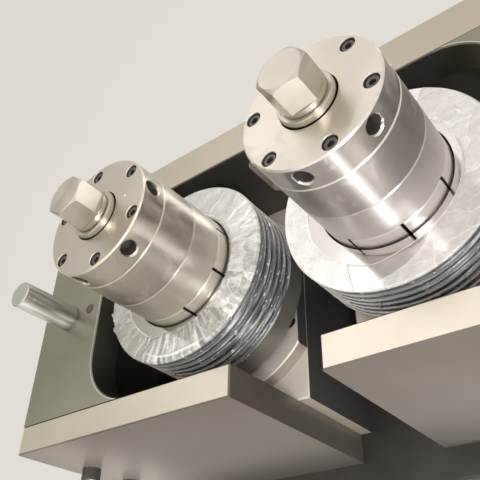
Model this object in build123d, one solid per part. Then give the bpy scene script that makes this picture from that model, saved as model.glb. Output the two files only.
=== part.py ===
from build123d import *
import math
import os

# Edge rolling machine with two vertical grooved rolls, from the floor up.
# Millimetres. +X runs across the strip, +Y along it, +Z up.
# The origin is on the floor, below the middle of the gap between the rolls.

os.makedirs("parts", exist_ok=True)

# Pass line
pass_height = 900.0        # middle of the grooved band above the floor
roll_gap = 34.0            # between the two rolls at rest

# Grooved roll
roll_radius = 115.0
groove_count = 6
groove_pitch = 9.6
groove_radius = 4.1
groove_depth = 3.6
rim_land = 1.5             # plain edge above the top groove and below the last one
shoulder_radius = 108.0    # plain band below the grooves
shoulder_height = 34.0
recess_radius = 72.2       # round the foot of the slotted collar
recess_depth = 6.0

# Stretch film on the roll
film_thickness = 1.5
film_inner_radius = 79.0
film_skirt = 17.0          # how far it comes down over the rim
seat_clearance = 0.3       # film on the roll, spindle above the well's floor

# Ring stack above the roll
hub_radius = 70.0
collar_stand = 16.6        # collar above the roll's top face
collar_slots = 8
slot_width = 3.4
slot_depth = 14.0
lower_spacer_height = 41.1
upper_spacer_height = 47.0
nut_height = 29.3
ring_chamfer = 0.8         # lower edges
ring_top_chamfer = 1.7     # the bright line at each joint
face_chamfer = 1.6         # rim of the nut's face

# Lock nut
nut_screws = 6
nut_screw_circle = 59.5    # radius
nut_screw_bore = 7.5       # radius of the counterbore
nut_screw_bore_depth = 10.0
tommy_holes = 6
tommy_radius = 6.0
tommy_depth = 17.0
tommy_drop = 13.5          # below the face
tommy_chamfer = 1.2
neck_depth = 7.0           # the neck starts this far inside the nut

# Spindle
spindle_radius = 29.4
fit_clearance = 0.05       # radial, shaft in ring
neck_radius = 28.0
neck_height = 6.6          # above the nut's face
neck_chamfer = 0.9
neck_top_radius = 23.6
neck_groove_width = 1.4    # ground relief round the foot of the neck's upper part
neck_groove_depth = 1.0
hexagon_flats = 43.0
hexagon_height = 30.5
hexagon_start = 12.5       # above the nut's face
crown_inset = 1.0          # end face inside the flats, from the turned chamfer
crown_angle = 30.0
flange_radius = 58.0
flange_depth = 11.0        # below the roll
journal_radius = 45.0
journal_length = 112.0

# Bearing cover and chock
cover_gap = 8.0            # below the roll
cover_radius = 123.0
cover_thickness = 18.0
cover_bore_gap = 4.0       # round the spindle's flange
cover_screw_circle = 98.0
cover_screw_angles = (31.0, 149.0)
cover_screw_bore = 7.5
cover_screw_bore_depth = 10.0
cover_chamfer = 1.5
chock_length = 189.0
chock_height = 144.0
chock_side_clearance = 0.5
chock_chamfer = 2.0

# Housing
window_half_width = 140.0  # inner faces of the rear beam and the cheeks
beam_rise = 3.0            # top of the housing above the roll's top face
rear_beam_thickness = 52.0
cheek_thickness = 35.0
front_gap = 105.0
housing_chamfer = 1.5
top_plate_edge_clearance = 25.0   # from the roll at rest to the top plate
top_plate_length = 112.0
top_plate_thickness = 40.0
top_plate_corner = 70.0
end_wall_thickness = 60.0
strip_window_height = 72.0
strip_window_rail = 20.0   # steel left above the strip window
strip_window_corner = 12.0

# Guide pins and tapped holes on the top plates
pin_radius = 17.0
pin_height = 80.0
pin_from_edge = 61.0
pin_offset_y = -1.0
pin_chamfer = 1.2
pin_relief_radius = 16.0   # ground relief at the pin's foot
pin_relief_height = 3.0
pin_spigot_radius = 11.0   # in the top plate
pin_seat_depth = 18.0
plate_hole_radius = 7.0
plate_hole_chamfer = 1.0
plate_hole_depth = 25.0
plate_hole_from_edge = 20.0

# Adjusting screw
screw_radius = 18.0
screw_clearance = 0.3
screw_end_flats = 30.0
screw_end_length = 42.0
screw_stand_out = 24.0     # round part of the screw outside its nut
nut_body_radius = 30.0
nut_flange_radius = 46.0
nut_flange_thickness = 16.0
keeper_radius = 42.0
keeper_thickness = 24.0

# Bed and pedestal
bed_thickness = 50.0
bed_overhang = 20.0        # past the housing, all round
bed_slot_width = 44.0
bed_slot_length = 220.0
bed_chamfer = 3.0
wall_thickness = 15.0
pedestal_inset = 30.0      # from the bed's edge to the pedestal's wall
access_width = 320.0
access_height = 330.0
access_sill = 120.0
access_corner = 40.0
foot_thickness = 25.0
foot_width = 150.0
foot_reach = 78.0          # past the pedestal's end wall
foot_overhang = 45.0       # past the pedestal, front and back
anchor_radius = 11.0
anchor_inset = 34.0
gusset_height = 150.0
gusset_thickness = 15.0

# Turn of each ring on its spindle, in degrees
ring_turns = {
    "left": {"screws": -20.0, "tommy": 10.0, "slots": 20.0, "hexagon": -38.0},
    "right": {"screws": -14.0, "tommy": 16.0, "slots": -74.4, "hexagon": 9.8},
}

# Heights worked out from the pass line
band_height = groove_count * groove_pitch + 2 * rim_land
roll_top = pass_height + band_height / 2
roll_bottom = roll_top - band_height - shoulder_height
collar_bottom = roll_top - recess_depth
collar_top = roll_top + collar_stand
lower_spacer_top = collar_top + lower_spacer_height
upper_spacer_top = lower_spacer_top + upper_spacer_height
hub_face = upper_spacer_top + nut_height
cover_top = roll_bottom - cover_gap
chock_top = cover_top - cover_thickness
bed_top = chock_top - chock_height
pedestal_top = bed_top - bed_thickness
housing_top = roll_top + beam_rise
screw_height = bed_top + chock_height / 2

# Places worked out along X and Y
axis_x = roll_radius + roll_gap / 2
chock_half = chock_length / 2
chock_outer = axis_x + chock_half
plate_edge = axis_x + roll_radius + top_plate_edge_clearance
housing_end = plate_edge + top_plate_length
end_wall_inner = housing_end - end_wall_thickness
rear_outer = window_half_width + rear_beam_thickness
front_outer = window_half_width + cheek_thickness
bed_half_x = housing_end + bed_overhang
bed_half_y = rear_outer + bed_overhang
pedestal_half_x = bed_half_x - pedestal_inset
pedestal_half_y = bed_half_y - pedestal_inset
screw_end = housing_end + nut_flange_thickness + screw_stand_out + screw_end_length


def turned(points):
    """Solid of revolution about Z from (radius, height) corners."""
    outline = Polyline(*[(r, 0, z) for r, z in points], close=True)
    return revolve(make_face(outline), axis=Axis.Z)


def ring(outer, inner, bottom, top, low_edge, high_edge):
    """Ring whose outer edges are chamfered where an edge isn't zero."""
    low = [(outer, bottom)]
    if low_edge > 0:
        low = [(outer - low_edge, bottom), (outer, bottom + low_edge)]
    high = [(outer, top)]
    if high_edge > 0:
        high = [(outer, top - high_edge), (outer - high_edge, top)]
    return turned([(inner, bottom)] + low + high + [(inner, top)])


def block(x0, x1, y0, y1, z0, z1):
    """Rectangular block between two corners."""
    centre = ((x0 + x1) / 2, (y0 + y1) / 2, (z0 + z1) / 2)
    return Pos(*centre) * Box(abs(x1 - x0), abs(y1 - y0), abs(z1 - z0))


def polar(radius, angle, height):
    """Place on a circle about the spindle's axis."""
    a = math.radians(angle)
    return Pos(radius * math.cos(a), radius * math.sin(a), height)


def hexagon(flats, height, turn=0.0):
    """Hexagonal prism that stands on z = 0."""
    outline = RegularPolygon(flats / math.sqrt(3), 6, rotation=turn)
    return extrude(outline, height)


def save(shape, node):
    export_step(shape, f"parts/{node}.step")


# Roll head, modelled about the Z axis and then moved to its side


def make_spindle(turns):
    """Turned shaft from the journal in the chock to the hexagon end."""
    shaft = turned([
        (0, roll_bottom - flange_depth - journal_length),
        (journal_radius, roll_bottom - flange_depth - journal_length),
        (journal_radius, roll_bottom - flange_depth),
        (flange_radius, roll_bottom - flange_depth),
        (flange_radius, roll_bottom),
        (spindle_radius, roll_bottom),
        (spindle_radius, hub_face - neck_depth),
        (neck_radius, hub_face - neck_depth),
        (neck_radius, hub_face + neck_height - neck_chamfer),
        (neck_radius - neck_chamfer, hub_face + neck_height),
        (neck_top_radius + neck_groove_width, hub_face + neck_height),
        (neck_top_radius + neck_groove_width, hub_face + neck_height - neck_groove_depth),
        (neck_top_radius, hub_face + neck_height - neck_groove_depth),
        (neck_top_radius, hub_face + hexagon_start),
        (0, hub_face + hexagon_start),
    ])
    head_top = hub_face + hexagon_start + hexagon_height
    crown_radius = hexagon_flats / 2 - crown_inset
    outside = hexagon_flats / math.sqrt(3) + 1
    crown_drop = (outside - crown_radius) * math.tan(math.radians(crown_angle))
    head = Pos(0, 0, hub_face + hexagon_start) * hexagon(hexagon_flats, hexagon_height, turns["hexagon"])
    crown = turned([
        (0, hub_face + hexagon_start),
        (outside, hub_face + hexagon_start),
        (outside, head_top - crown_drop),
        (crown_radius, head_top),
        (0, head_top),
    ])
    return shaft + (head & crown)


def make_lock_nut(turns):
    """Ring nut with screw counterbores on its face and radial tommy-bar holes."""
    bore = spindle_radius + fit_clearance
    nut = ring(hub_radius, bore, upper_spacer_top, hub_face, ring_chamfer, face_chamfer)
    for i in range(nut_screws):
        angle = turns["screws"] + 360 / nut_screws * i
        middle = hub_face - nut_screw_bore_depth / 2
        nut -= polar(nut_screw_circle, angle, middle) * Cylinder(nut_screw_bore, nut_screw_bore_depth)
    hole_z = hub_face - tommy_drop
    for i in range(tommy_holes):
        angle = turns["tommy"] + 360 / tommy_holes * i
        along = Rot(0, 0, angle) * Pos(hub_radius - tommy_depth / 2, 0, hole_z) * Rot(0, 90, 0)
        mouth = Rot(0, 0, angle) * Pos(hub_radius, 0, hole_z) * Rot(0, 90, 0)
        nut -= along * Cylinder(tommy_radius, tommy_depth)
        nut -= mouth * Cone(tommy_radius - tommy_chamfer, tommy_radius + tommy_chamfer, 2 * tommy_chamfer)
    return nut


def make_collar(turns):
    """Slotted collar that stands in the recess of the roll."""
    bore = spindle_radius + fit_clearance
    collar = ring(hub_radius, bore, collar_bottom, collar_top, ring_chamfer, ring_top_chamfer)
    height = collar_top - collar_bottom
    for i in range(collar_slots):
        angle = turns["slots"] + 360 / collar_slots * i
        slot = Box(slot_depth * 2, slot_width, height)
        collar -= Rot(0, 0, angle) * Pos(hub_radius, 0, (collar_bottom + collar_top) / 2) * slot
    return collar


def make_roll():
    """Roll with a row of R grooves, a plain band below and a recess on top."""
    bore = spindle_radius + fit_clearance
    band_bottom = roll_top - band_height
    edges = []
    corners = [
        (shoulder_radius, band_bottom),
        (shoulder_radius, roll_bottom + ring_chamfer),
        (shoulder_radius - ring_chamfer, roll_bottom),
        (bore, roll_bottom),
        (bore, roll_top - recess_depth),
        (recess_radius, roll_top - recess_depth),
        (recess_radius, roll_top),
        (roll_radius, roll_top),
    ]
    half_chord = math.sqrt(groove_radius ** 2 - (groove_radius - groove_depth) ** 2)
    last = corners[-1]
    for a, b in zip(corners[:-1], corners[1:]):
        edges.append(Line((a[0], 0, a[1]), (b[0], 0, b[1])))
    for i in range(groove_count):
        middle = roll_top - rim_land - groove_pitch * (i + 0.5)
        high = (roll_radius, 0, middle + half_chord)
        deep = (roll_radius - groove_depth, 0, middle)
        low = (roll_radius, 0, middle - half_chord)
        edges.append(Line((last[0], 0, last[1]), high))
        edges.append(ThreePointArc(high, deep, low))
        last = (low[0], low[2])
    edges.append(Line((last[0], 0, last[1]), (roll_radius, 0, band_bottom)))
    edges.append(Line((roll_radius, 0, band_bottom), (shoulder_radius, 0, band_bottom)))
    return revolve(make_face(edges), axis=Axis.Z)


def make_film():
    """Stretch film: a thin cap over the roll's top face and rim."""
    inside = roll_radius + seat_clearance
    outside = inside + film_thickness
    floor = roll_top + seat_clearance
    roof = floor + film_thickness
    hem = roll_top - film_skirt
    return turned([
        (film_inner_radius, floor),
        (inside, floor),
        (inside, hem),
        (outside, hem),
        (outside, roof - film_thickness / 2),
        (outside - film_thickness / 2, roof),
        (film_inner_radius, roof),
    ])


def make_cover():
    """Bearing cover: a disc with two flats, flush with the chock's ends."""
    cover = ring(cover_radius, flange_radius + cover_bore_gap, chock_top, cover_top, 0, cover_chamfer)
    cover = cover & block(-chock_half, chock_half, -cover_radius, cover_radius, chock_top, cover_top)
    middle = cover_top - cover_screw_bore_depth / 2
    for angle in cover_screw_angles:
        for side in (1, -1):
            place = polar(cover_screw_circle, side * angle, middle)
            cover -= place * Cylinder(cover_screw_bore, cover_screw_bore_depth)
    return cover


def make_chock():
    """Block that carries the spindle's journal and slides between the beams."""
    half_y = window_half_width - chock_side_clearance
    chock = block(-chock_half, chock_half, -half_y, half_y, bed_top, chock_top)
    chock = chamfer(chock.edges().group_by(Axis.Z)[-1], chock_chamfer)
    journal_bottom = roll_bottom - flange_depth - journal_length
    well = turned([
        (0, journal_bottom - seat_clearance),
        (journal_radius + fit_clearance, journal_bottom - seat_clearance),
        (journal_radius + fit_clearance, chock_top + 1),
        (0, chock_top + 1),
    ])
    return chock - well


# Adjusting screw, modelled along +X from the chock's outer face


def make_screw():
    """Plain screw with a hexagon end outside the housing."""
    length = screw_end - screw_end_length - chock_outer
    body = Rot(0, 90, 0) * Cylinder(screw_radius, length, align=(Align.CENTER, Align.CENTER, Align.MIN))
    end = Pos(length, 0, 0) * Rot(0, 90, 0) * hexagon(screw_end_flats, screw_end_length)
    return Pos(chock_outer, 0, screw_height) * (body + end)


def make_keeper():
    """Keeper ring that ties the screw to the chock."""
    bore = screw_radius + fit_clearance
    body = ring(keeper_radius, bore, 0, keeper_thickness, 0, ring_chamfer)
    return Pos(chock_outer, 0, screw_height) * Rot(0, 90, 0) * body


def make_screw_nut():
    """Flanged nut in the end wall."""
    bore = screw_radius + screw_clearance
    body = turned([
        (bore, -end_wall_thickness),
        (nut_body_radius, -end_wall_thickness),
        (nut_body_radius, 0),
        (nut_flange_radius, 0),
        (nut_flange_radius, nut_flange_thickness - ring_chamfer),
        (nut_flange_radius - ring_chamfer, nut_flange_thickness),
        (bore, nut_flange_thickness),
    ])
    return Pos(housing_end, 0, screw_height) * Rot(0, 90, 0) * body


# Housing, modelled on the +X side where there are two alike


def make_end_wall():
    """Wall that closes the housing's end and carries the screw's nut."""
    wall = block(end_wall_inner, housing_end, -window_half_width, window_half_width,
                 bed_top, housing_top - top_plate_thickness)
    hole = Rot(0, 90, 0) * Cylinder(nut_body_radius, 3 * end_wall_thickness)
    return wall - Pos(housing_end, 0, screw_height) * hole


def make_top_plate():
    """Plate over the housing's end, with rounded inner corners."""
    low = housing_top - top_plate_thickness
    plate = block(plate_edge - top_plate_corner, housing_end, -window_half_width, window_half_width,
                  low, housing_top)
    opening = block(plate_edge - 3 * top_plate_corner, plate_edge, -window_half_width, window_half_width,
                    low, housing_top)
    corners = opening.edges().filter_by(Axis.Z).group_by(Axis.X)[-1]
    plate = plate - fillet(corners, top_plate_corner)
    rim = [e for e in plate.edges().group_by(Axis.Z)[-1] if e.center().X < plate_edge + 1]
    rim = [e for e in rim if abs(e.center().Y) < window_half_width - 1 and e.length > 2]
    plate = chamfer(rim, housing_chamfer)
    seat = Cylinder(pin_spigot_radius, 2 * pin_seat_depth)
    plate -= Pos(plate_edge + pin_from_edge, pin_offset_y, housing_top) * seat
    hole = Cylinder(plate_hole_radius, 2 * plate_hole_depth)
    mouth = Cone(plate_hole_radius - plate_hole_chamfer, plate_hole_radius + plate_hole_chamfer,
                 2 * plate_hole_chamfer)
    plate -= Pos(plate_edge + plate_hole_from_edge, 0, housing_top) * hole
    plate -= Pos(plate_edge + plate_hole_from_edge, 0, housing_top) * mouth
    return plate


def make_guide_pin():
    """Bright round pin that stands on its shoulder, with a spigot in the top plate."""
    top = housing_top + pin_height
    pin = turned([
        (0, housing_top - pin_seat_depth),
        (pin_spigot_radius, housing_top - pin_seat_depth),
        (pin_spigot_radius, housing_top),
        (pin_relief_radius, housing_top),
        (pin_relief_radius, housing_top + pin_relief_height),
        (pin_radius, housing_top + pin_relief_height),
        (pin_radius, top - pin_chamfer),
        (pin_radius - pin_chamfer, top),
        (0, top),
    ])
    return Pos(plate_edge + pin_from_edge, pin_offset_y, 0) * pin


def make_cheek():
    """Front cheek, from the gap to the housing's end."""
    cheek = block(front_gap / 2, housing_end, -front_outer, -window_half_width, bed_top, housing_top)
    return chamfer(cheek.edges().group_by(Axis.Z)[-1], housing_chamfer)


def make_rear_beam():
    """Rear beam in one piece, with a window that the strip runs through."""
    beam = block(-housing_end, housing_end, window_half_width, rear_outer, bed_top, housing_top)
    beam = chamfer(beam.edges().group_by(Axis.Z)[-1], housing_chamfer)
    top = housing_top - strip_window_rail
    window = block(-front_gap / 2, front_gap / 2, window_half_width - 1, rear_outer + 1,
                   top - strip_window_height, top)
    window = fillet(window.edges().filter_by(Axis.Y), strip_window_corner)
    return beam - window


def make_bed():
    """Bed plate with a slot below the rolls for scale."""
    bed = block(-bed_half_x, bed_half_x, -bed_half_y, bed_half_y, pedestal_top, bed_top)
    bed = chamfer(bed.edges().group_by(Axis.Z)[-1], bed_chamfer)
    slot = extrude(SlotOverall(bed_slot_length, bed_slot_width, rotation=90), 2 * bed_thickness)
    return bed - Pos(0, 0, pedestal_top - bed_thickness / 2) * slot


def make_long_wall():
    """Front wall of the pedestal, with an access opening."""
    half = pedestal_half_x - wall_thickness
    wall = block(-half, half, -pedestal_half_y, -pedestal_half_y + wall_thickness,
                 foot_thickness, pedestal_top)
    low = foot_thickness + access_sill
    opening = block(-access_width / 2, access_width / 2,
                    -pedestal_half_y - 1, -pedestal_half_y + wall_thickness + 1,
                    low, low + access_height)
    return wall - fillet(opening.edges().filter_by(Axis.Y), access_corner)


def make_side_wall():
    """End wall of the pedestal."""
    return block(pedestal_half_x - wall_thickness, pedestal_half_x,
                 -pedestal_half_y, pedestal_half_y, foot_thickness, pedestal_top)


def make_foot():
    """Foot plate with anchor holes and two gussets against the pedestal."""
    outer = pedestal_half_x + foot_reach
    half_y = pedestal_half_y + foot_overhang
    foot = block(outer - foot_width, outer, -half_y, half_y, 0, foot_thickness)
    for side in (1, -1):
        place = Pos(outer - anchor_inset, side * (half_y - anchor_inset), foot_thickness / 2)
        foot -= place * Cylinder(anchor_radius, 2 * foot_thickness)
    reach = foot_reach - foot_thickness
    for side in (1, -1):
        outline = Polyline((0, 0), (reach, 0), (reach, foot_thickness), (foot_thickness, gusset_height),
                           (0, gusset_height), close=True)
        web = extrude(Plane.XZ * make_face(outline), gusset_thickness / 2, both=True)
        foot += Pos(pedestal_half_x, side * pedestal_half_y / 2, foot_thickness) * web
    return foot


save(make_bed(), "bed_plate")
save(make_rear_beam(), "rear_beam")
save(make_long_wall(), "pedestal_front_wall")
save(Rot(0, 0, 180) * make_long_wall(), "pedestal_rear_wall")

for side, sign in (("left", -1), ("right", 1)):
    turns = ring_turns[side]
    place = Pos(sign * axis_x, 0, 0)
    bore = spindle_radius + fit_clearance

    save(place * make_spindle(turns), f"{side}_spindle")
    save(place * make_lock_nut(turns), f"{side}_lock_nut")
    upper = ring(hub_radius, bore, lower_spacer_top, upper_spacer_top, ring_chamfer, ring_top_chamfer)
    lower = ring(hub_radius, bore, collar_top, lower_spacer_top, ring_chamfer, ring_top_chamfer)
    save(place * upper, f"{side}_upper_spacer")
    save(place * lower, f"{side}_lower_spacer")
    save(place * make_collar(turns), f"{side}_slotted_collar")
    save(place * make_roll(), f"{side}_grooved_roll")
    save(place * make_film(), f"{side}_roll_film")
    save(place * make_cover(), f"{side}_bearing_cover")
    save(place * make_chock(), f"{side}_chock")

    pieces = {
        "adjusting_screw": make_screw(),
        "screw_keeper": make_keeper(),
        "screw_nut": make_screw_nut(),
        "end_wall": make_end_wall(),
        "top_plate": make_top_plate(),
        "guide_pin": make_guide_pin(),
        "front_cheek": make_cheek(),
        "pedestal_side_wall": make_side_wall(),
        "foot": make_foot(),
    }
    for name, shape in pieces.items():
        if sign < 0:
            shape = mirror(shape, about=Plane.YZ)
        save(shape, f"{side}_{name}")
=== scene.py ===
# %% [markdown]
# # Dressing an edge rolling machine
# The machine rolls the edges of steel strip between two upright rolls. Its solids are already made, at their
# real size, and this lesson gives them their surfaces: ground and turned steel, hardened rolls under a
# wrapping of stretch film, blackened screws and painted plate. We first load the solids and measure them,
# so that every piece that we add takes its place from theirs.

# %% Load the frame
import math
import random

import bmesh
import bpy
from mathutils import Matrix, Vector, noise
from mathutils.bvhtree import BVHTree
from mathutils.geometry import delaunay_2d_cdt


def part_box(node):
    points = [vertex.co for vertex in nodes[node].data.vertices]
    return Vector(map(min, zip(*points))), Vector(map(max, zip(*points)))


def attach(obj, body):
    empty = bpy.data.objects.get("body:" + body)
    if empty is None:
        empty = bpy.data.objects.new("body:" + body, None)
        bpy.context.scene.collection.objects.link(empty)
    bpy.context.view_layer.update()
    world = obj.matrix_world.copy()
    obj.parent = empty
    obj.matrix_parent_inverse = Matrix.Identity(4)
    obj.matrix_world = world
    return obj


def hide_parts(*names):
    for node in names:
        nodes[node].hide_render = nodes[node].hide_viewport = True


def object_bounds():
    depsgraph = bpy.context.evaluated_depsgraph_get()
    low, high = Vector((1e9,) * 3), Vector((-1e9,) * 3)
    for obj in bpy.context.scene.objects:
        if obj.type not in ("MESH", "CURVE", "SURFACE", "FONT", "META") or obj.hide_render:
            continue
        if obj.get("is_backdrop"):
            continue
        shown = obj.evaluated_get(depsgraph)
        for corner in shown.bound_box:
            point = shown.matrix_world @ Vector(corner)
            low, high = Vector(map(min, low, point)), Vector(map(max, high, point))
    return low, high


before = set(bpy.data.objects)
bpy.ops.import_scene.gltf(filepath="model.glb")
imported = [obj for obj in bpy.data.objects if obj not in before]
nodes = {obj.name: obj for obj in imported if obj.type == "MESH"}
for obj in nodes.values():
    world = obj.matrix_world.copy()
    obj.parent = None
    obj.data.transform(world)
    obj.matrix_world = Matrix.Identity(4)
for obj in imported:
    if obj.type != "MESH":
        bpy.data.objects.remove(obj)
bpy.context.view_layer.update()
mm = 0.001
sides = ("left", "right")

# %% [markdown]
# The two roll heads are alike. Their axes and heights are read from the solids: the lock nut gives the axis
# and the height of the bright face, the rings below it give the heights of the joints, and the roll gives
# its rim and the depth of its grooved band.

# %% Places that the solids give
axis = {}
for side in sides:
    low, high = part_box(f"{side}_lock_nut")
    axis[side] = Vector(((low.x + high.x) / 2, (low.y + high.y) / 2, 0))
hub_radius = (high.x - low.x) / 2
hub_face = high.z
axis_offset = axis["right"].x
joint_heights = [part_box(f"right_{ring}")[1].z for ring in ("slotted_collar", "lower_spacer", "upper_spacer")]
roll_low, roll_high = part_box("right_grooved_roll")
roll_radius = (roll_high.x - roll_low.x) / 2
roll_top = roll_high.z
roll_bottom = roll_low.z
cover_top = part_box("right_bearing_cover")[1].z
bed_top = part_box("bed_plate")[1].z
housing_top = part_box("rear_beam")[1].z
print("axis", round(axis_offset, 4), "face", round(hub_face, 4),
      "roll", round(roll_radius, 4), round(roll_top, 4))

# %% [markdown]
# ## Small helpers
# Colours are written as the sRGB hex values that an eye reads off a screen, and one function turns them into
# the linear values that a shader wants. One more function adds a shader node, sets its properties and fills
# its inputs, each with a value, a hex colour or another node's output. Pieces made of points and faces enter
# the scene through the last function.

# %% Helpers for colours, nodes and meshes
def colour(code):
    """sRGB hex to linear RGBA."""
    parts = [int(code[i:i + 2], 16) / 255 for i in (1, 3, 5)]
    return (*[p / 12.92 if p <= 0.04045 else ((p + 0.055) / 1.055) ** 2.4 for p in parts], 1.0)


def add(tree, kind, inputs=None, give=None, **settings):
    """Adds a shader node with its properties and inputs. Gives its first output in use, or the named one."""
    made = tree.nodes.new("ShaderNode" + kind)
    for name, value in settings.items():
        setattr(made, name, value)
    for name, value in (inputs or {}).items():
        if isinstance(value, bpy.types.NodeSocket):
            tree.links.new(value, made.inputs[name])
        else:
            made.inputs[name].default_value = colour(value) if isinstance(value, str) else value
    return made.outputs[give] if give else next((s for s in made.outputs if s.enabled), None)


def material(name):
    """A new material and its node tree, still empty."""
    made = bpy.data.materials.new(name)
    made.use_nodes = True
    made.node_tree.nodes.clear()
    return made, made.node_tree


def close(made, inputs):
    """Ends a material in the main shader with these inputs."""
    tree = made.node_tree
    add(tree, "OutputMaterial", {"Surface": add(tree, "BsdfPrincipled", inputs)})
    print("material", made.name, "nodes", len(tree.nodes))
    return made


def mesh_object(name, points, faces, look=None):
    """A mesh object in the scene, with its material where it has one."""
    mesh = bpy.data.meshes.new(name)
    mesh.from_pydata(points, [], faces)
    if look:
        mesh.materials.append(look)
    made = bpy.data.objects.new(name, mesh)
    bpy.context.scene.collection.objects.link(made)
    return made


# Sockets of the Mix node when it mixes colours: the factor and the two colours
FACTOR, FIRST, SECOND = 0, 6, 7


# %% [markdown]
# ## The camera
# The photograph looks down on the two roll heads from close by, with the camera turned far over to one side,
# so that upright spindles lean to the upper left. A camera placed by a look direction and a turn about it
# says this more plainly than three Euler angles.

# %% Camera
camera_place = Vector((0.3149, -0.4029, 1.3826))
camera_target = Vector((-0.0209, -0.0190, 0.9600))
camera_turn = math.radians(52.76)
camera_data = bpy.data.cameras.new("camera")
camera_data.lens = 47.2
camera_data.sensor_width = 36.0
camera_data.clip_start = 0.01
camera_data.clip_end = 50.0
camera = bpy.data.objects.new("camera", camera_data)
look = (camera_target - camera_place).normalized()
level_right = look.cross(Vector((0, 0, 1))).normalized()
level_up = level_right.cross(look)
up = math.cos(camera_turn) * level_up + math.sin(camera_turn) * level_right
facing = Matrix((look.cross(up), up, -look)).transposed().to_4x4()
camera.matrix_world = Matrix.Translation(camera_place) @ facing
bpy.context.scene.collection.objects.link(camera)
bpy.context.scene.camera = camera
bpy.context.scene.view_settings.view_transform = "Standard"
print("camera looks along", [round(v, 3) for v in look])

# %% [markdown]
# ## Floor, background and light
# The floor is a plain pale sheet. The world is a soft studio: warm white overhead, dimmer towards the
# horizon and a little greener on the left, which is what level steel faces mirror when they are seen from
# above. Upright round steel mirrors the low directions instead, so tall narrow lamps stand round the machine
# at the height of the roll heads: each draws one bright line down a turned ring. Two more lamps are small:
# one lights a flat of the left hexagon alone, and one shines from beside the camera under the rolls.

# %% Floor
pale, tree = material("pale_floor")
grain = add(tree, "TexNoise", {"Scale": 3.0, "Detail": 3.0})
tone = add(tree, "Mix", {FACTOR: grain, FIRST: "#E6E5E2", SECOND: "#ECEBE8"}, data_type="RGBA")
close(pale, {"Base Color": tone, "Roughness": 0.7})
reach = 12.0
corners = [(-reach, -reach, 0), (reach, -reach, 0), (reach, reach, 0), (-reach, reach, 0)]
floor = mesh_object("floor", corners, [(0, 1, 2, 3)], pale)
floor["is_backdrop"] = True

# %% World
world = bpy.data.worlds.new("studio")
world.use_nodes = True
sky = world.node_tree
sky.nodes.clear()
direction = add(sky, "TexCoord", give="Generated")
parts = add(sky, "SeparateXYZ", {"Vector": direction}).node.outputs
# How high the view looks where the air starts to brighten, and where it is brightest
low_air, high_air = 0.35, 0.9
rise = add(sky, "MapRange", {"Value": parts["Z"], "From Min": low_air, "From Max": high_air},
           interpolation_type="SMOOTHSTEP")
air = add(sky, "Mix", {FACTOR: rise, FIRST: "#D6D2CC", SECOND: "#FFFBF5"}, data_type="RGBA")
leftward = add(sky, "MapRange", {"Value": parts["X"], "From Min": -0.5, "From Max": -1.0},
               interpolation_type="SMOOTHSTEP")
room = add(sky, "Mix", {FACTOR: leftward, FIRST: air, SECOND: "#A5A898"}, data_type="RGBA")
strength = add(sky, "MapRange", {"Value": parts["Z"], "From Min": low_air, "From Max": high_air,
                                 "To Min": 1.0, "To Max": 1.15}, interpolation_type="SMOOTHSTEP")
add(sky, "OutputWorld", {"Surface": add(sky, "Background", {"Color": room, "Strength": strength})})
bpy.context.scene.world = world
print("world", world.name, "nodes", len(sky.nodes))


# %% Lamps
def soft_lamp(name, azimuth, elevation, distance, width, length, power, target, beam, turn=0):
    """A soft rectangular lamp in a direction from its target, in degrees, that faces the target."""
    a, e = math.radians(azimuth), math.radians(elevation)
    away = Vector((math.cos(e) * math.cos(a), math.cos(e) * math.sin(a), math.sin(e)))
    data = bpy.data.lights.new(name, "AREA")
    data.shape = "RECTANGLE"
    data.size = width
    data.size_y = length
    data.energy = power
    data.spread = math.radians(beam)
    made = bpy.data.objects.new(name, data)
    facing = (-away).to_track_quat("-Z", "Y").to_matrix().to_4x4()
    place = Matrix.Translation(Vector(target) + away * distance)
    made.matrix_world = place @ facing @ Matrix.Rotation(math.radians(turn), 4, "Z")
    made.visible_camera = False
    bpy.context.scene.collection.objects.link(made)
    return made


left_head, middle, right_head = (-axis_offset, 0, 1.0), (0, 0, 1.0), (axis_offset, 0, 1.0)
left_pin, left_hexagon = (-2.5 * axis_offset, 0, 1.0), (-axis_offset, 0, 1.1)
under_rolls = (0.05, -0.12, 0.92)
lamps = [
    # name, azimuth, elevation, distance, width and length in metres, watts, target, beam, turn
    ("front_strip", -86, -10, 1.5, 0.03, 1.2, 0.36, right_head, 14),
    ("front_softbox", -40, -2, 1.5, 0.6, 1.6, 0.12, middle, 60),
    ("rear_softbox", 62, -6, 1.6, 0.34, 1.2, 0.5, left_head, 12),
    ("side_strip", -24, -8, 1.5, 0.03, 0.8, 0.055, left_head, 8),
    ("pin_strip", -92, -2, 1.5, 0.08, 1.8, 0.8, left_pin, 8),
    ("hexagon_softbox", 26, -18, 0.6, 0.1, 0.1, 0.0016, left_hexagon, 4),
    ("camera_softbox", -54, 38, 1.0, 0.2, 0.2, 0.27, under_rolls, 50),
    ("ceiling_tube_1", 128, 38, 2.2, 1.5, 0.1, 1.2, middle, 180, 8),
    ("ceiling_tube_2", 128, 52, 2.2, 1.5, 0.1, 1.2, middle, 180, 8),
    ("ceiling_tube_3", 128, 66, 2.2, 1.5, 0.1, 1.2, middle, 180, 8),
]
for lamp in lamps:
    soft_lamp(*lamp)
print("lamps:", [lamp[0] for lamp in lamps])
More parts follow.
